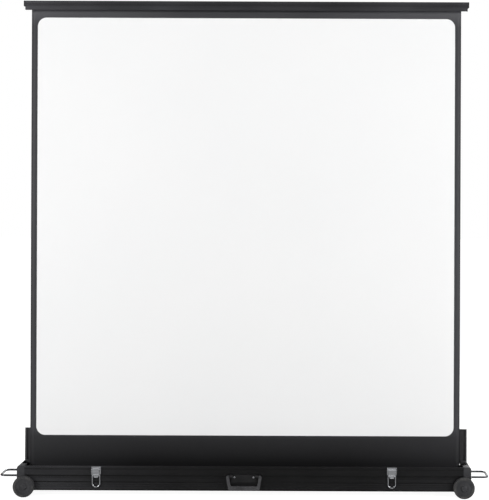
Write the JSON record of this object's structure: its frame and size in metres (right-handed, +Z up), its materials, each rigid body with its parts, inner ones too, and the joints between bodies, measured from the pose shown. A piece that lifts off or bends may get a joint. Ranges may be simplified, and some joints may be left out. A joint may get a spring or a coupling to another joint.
{
  "type": "portable projection screen",
  "caption": "Floor-standing pull-up projection screen on a wheeled case with an open lid; a rear double scissor lifts a top bar that draws the fabric off a roller.",
  "frame": {"origin": "on the floor under the middle of the bounding box", "axes": "+X along the case to the right as the audience sees it, -Y towards the audience, +Z up"},
  "size_m": [2.326, 0.231, 2.357],
  "materials": {
    "black_aluminium": "satin black anodised extrusion",
    "black_moulding": "fine-grained black nylon",
    "bright_aluminium": "mill finish, lightly brushed",
    "zinc_steel": "zinc plated",
    "chrome": "polished chrome",
    "rubber": "black rubber with worn tread",
    "screen_cloth": "matt white vinyl-coated cloth with a black border and back",
    "black_cloth": "black back of the cloth",
    "slider_plastic": "natural acetal",
    "dark_steel": "black spring housing"
  },
  "bodies": {
    "case": {"case_shell": "black_aluminium", "end_frame_left": "zinc_steel", "end_frame_right": "zinc_steel", "end_cap_left": "black_moulding", "end_cap_right": "black_moulding", "end_cap_screws": "zinc_steel", "side_handle_left": "chrome", "side_handle_right": "chrome", "handle_rosettes": "chrome", "wheel_mounts": "dark_steel", "roller_shaft": "zinc_steel", "spring_pack": "dark_steel", "screen_fabric": "screen_cloth", "base_bracket": "zinc_steel", "base_pin": "zinc_steel", "base_track": "zinc_steel", "hinge_case_leaf": "zinc_steel", "hinge_pin": "zinc_steel", "latch_bases": "chrome", "carry_plate": "black_moulding", "panel_screws": "chrome"},
    "wheel_front_left": {"tyre_front_left": "rubber", "hub_front_left": "black_moulding"},
    "wheel_front_right": {"tyre_front_right": "rubber", "hub_front_right": "black_moulding"},
    "wheel_rear_left": {"tyre_rear_left": "rubber", "hub_rear_left": "black_moulding"},
    "wheel_rear_right": {"tyre_rear_right": "rubber", "hub_rear_right": "black_moulding"},
    "roller": {"roller_tube": "bright_aluminium", "roller_plugs": "dark_steel", "wound_fabric": "black_cloth"},
    "lower_fixed_arm": {"lower_arm_fixed": "bright_aluminium", "fixed_arm_pins": "zinc_steel"},
    "lower_sliding_arm": {"lower_arm_sliding": "bright_aluminium", "sliding_arm_pins": "zinc_steel", "spring_cartridge": "dark_steel"},
    "upper_fixed_arm": {"upper_arm_fixed": "bright_aluminium", "upper_centre_pin": "zinc_steel"},
    "upper_sliding_arm": {"upper_arm_sliding": "bright_aluminium", "top_slider_pin": "zinc_steel"},
    "foot_slider": {"base_slider": "slider_plastic"},
    "bar": {"top_bar": "black_aluminium", "top_bar_end_left": "black_moulding", "top_bar_end_right": "black_moulding", "top_bracket": "zinc_steel", "top_pin": "zinc_steel", "fabric_top_rod": "slider_plastic"},
    "head_slider": {"top_slider": "slider_plastic"},
    "lid": {"lid_shell": "black_aluminium", "lid_end_left": "black_moulding", "lid_end_right": "black_moulding", "hinge_lid_leaf": "zinc_steel", "lid_strikes": "chrome"},
    "lever_left": {"latch_lever_left": "chrome"},
    "lever_right": {"latch_lever_right": "chrome"},
    "loop_left": {"latch_loop_left": "chrome"},
    "loop_right": {"latch_loop_right": "chrome"},
    "carry_bail": {"carry_handle": "black_moulding"}
  },
  "joints": [
    {"name": "scissor_fold", "type": "hinge", "parent": "case", "child": "lower_fixed_arm", "pos_m": [-0.405, 0.019, 0.05], "axis": [0, 1, 0], "range_deg": [0, 53.15], "deforming": ["screen_fabric"]},
    {"name": "lower_cross", "type": "hinge", "parent": "lower_fixed_arm", "child": "lower_sliding_arm", "pos_m": [0, 0.028, 0.62125], "axis": [0, 1, 0], "range_deg": [-106.4, 0]},
    {"name": "foot_slide_pivot", "type": "hinge", "parent": "lower_sliding_arm", "child": "foot_slider", "pos_m": [0.405, 0.069, 0.05], "axis": [0, 1, 0], "range_deg": [0, 53.25]},
    {"name": "right_elbow", "type": "hinge", "parent": "lower_fixed_arm", "child": "upper_fixed_arm", "pos_m": [0.405, 0.028, 1.1925], "axis": [0, 1, 0], "range_deg": [-106.4, 0]},
    {"name": "upper_cross", "type": "hinge", "parent": "upper_fixed_arm", "child": "upper_sliding_arm", "pos_m": [0, 0.028, 1.76375], "axis": [0, 1, 0], "range_deg": [0, 106.4]},
    {"name": "bar_pivot", "type": "hinge", "parent": "upper_fixed_arm", "child": "bar", "pos_m": [-0.405, 0.037, 2.335], "axis": [0, 1, 0], "range_deg": [0, 53.25]},
    {"name": "head_slide_pivot", "type": "hinge", "parent": "upper_sliding_arm", "child": "head_slider", "pos_m": [0.405, 0, 2.335], "axis": [0, 1, 0], "range_deg": [-53.25, 0]},
    {"name": "roller_spin", "type": "hinge", "parent": "case", "child": "roller", "pos_m": [0, -0.038, 0.07], "axis": [-1, 0, 0], "range_deg": [0, 3800]},
    {"name": "front_left_wheel", "type": "hinge", "parent": "case", "child": "wheel_front_left", "pos_m": [-1.041, -0.1, 0.05], "axis": [0, 1, 0], "continuous": true},
    {"name": "front_right_wheel", "type": "hinge", "parent": "case", "child": "wheel_front_right", "pos_m": [1.041, -0.1, 0.05], "axis": [0, 1, 0], "continuous": true},
    {"name": "rear_left_wheel", "type": "hinge", "parent": "case", "child": "wheel_rear_left", "pos_m": [-1.041, 0.1, 0.05], "axis": [0, 1, 0], "continuous": true},
    {"name": "rear_right_wheel", "type": "hinge", "parent": "case", "child": "wheel_rear_right", "pos_m": [1.041, 0.1, 0.05], "axis": [0, 1, 0], "continuous": true},
    {"name": "lid_hinge", "type": "hinge", "parent": "case", "child": "lid", "pos_m": [0, 0.0863, 0.123], "axis": [1, 0, 0], "range_deg": [-12, 18]},
    {"name": "left_latch_lever", "type": "hinge", "parent": "case", "child": "lever_left", "pos_m": [-0.7, -0.0885, 0.13], "axis": [-1, 0, 0], "range_deg": [0, 60]},
    {"name": "right_latch_lever", "type": "hinge", "parent": "case", "child": "lever_right", "pos_m": [0.7, -0.0885, 0.13], "axis": [-1, 0, 0], "range_deg": [0, 60]},
    {"name": "left_latch_loop", "type": "hinge", "parent": "lever_left", "child": "loop_left", "pos_m": [-0.7, -0.0897, 0.102], "axis": [-1, 0, 0], "range_deg": [0, 125]},
    {"name": "right_latch_loop", "type": "hinge", "parent": "lever_right", "child": "loop_right", "pos_m": [0.7, -0.0897, 0.102], "axis": [-1, 0, 0], "range_deg": [0, 125]},
    {"name": "carry_handle_swing", "type": "hinge", "parent": "case", "child": "carry_bail", "pos_m": [0, -0.094, 0.0975], "axis": [-1, 0, 0], "range_deg": [0, 105]}
  ],
  "couplings": [
    {"joint": "lower_cross", "follows": "scissor_fold", "ratio": -2},
    {"joint": "foot_slide_pivot", "follows": "scissor_fold", "ratio": 1},
    {"joint": "right_elbow", "follows": "scissor_fold", "ratio": -2},
    {"joint": "upper_cross", "follows": "scissor_fold", "ratio": 2},
    {"joint": "bar_pivot", "follows": "scissor_fold", "ratio": 1},
    {"joint": "head_slide_pivot", "follows": "scissor_fold", "ratio": -1},
    {"joint": "roller_spin", "follows": "scissor_fold", "ratio": 71.3}
  ]
}
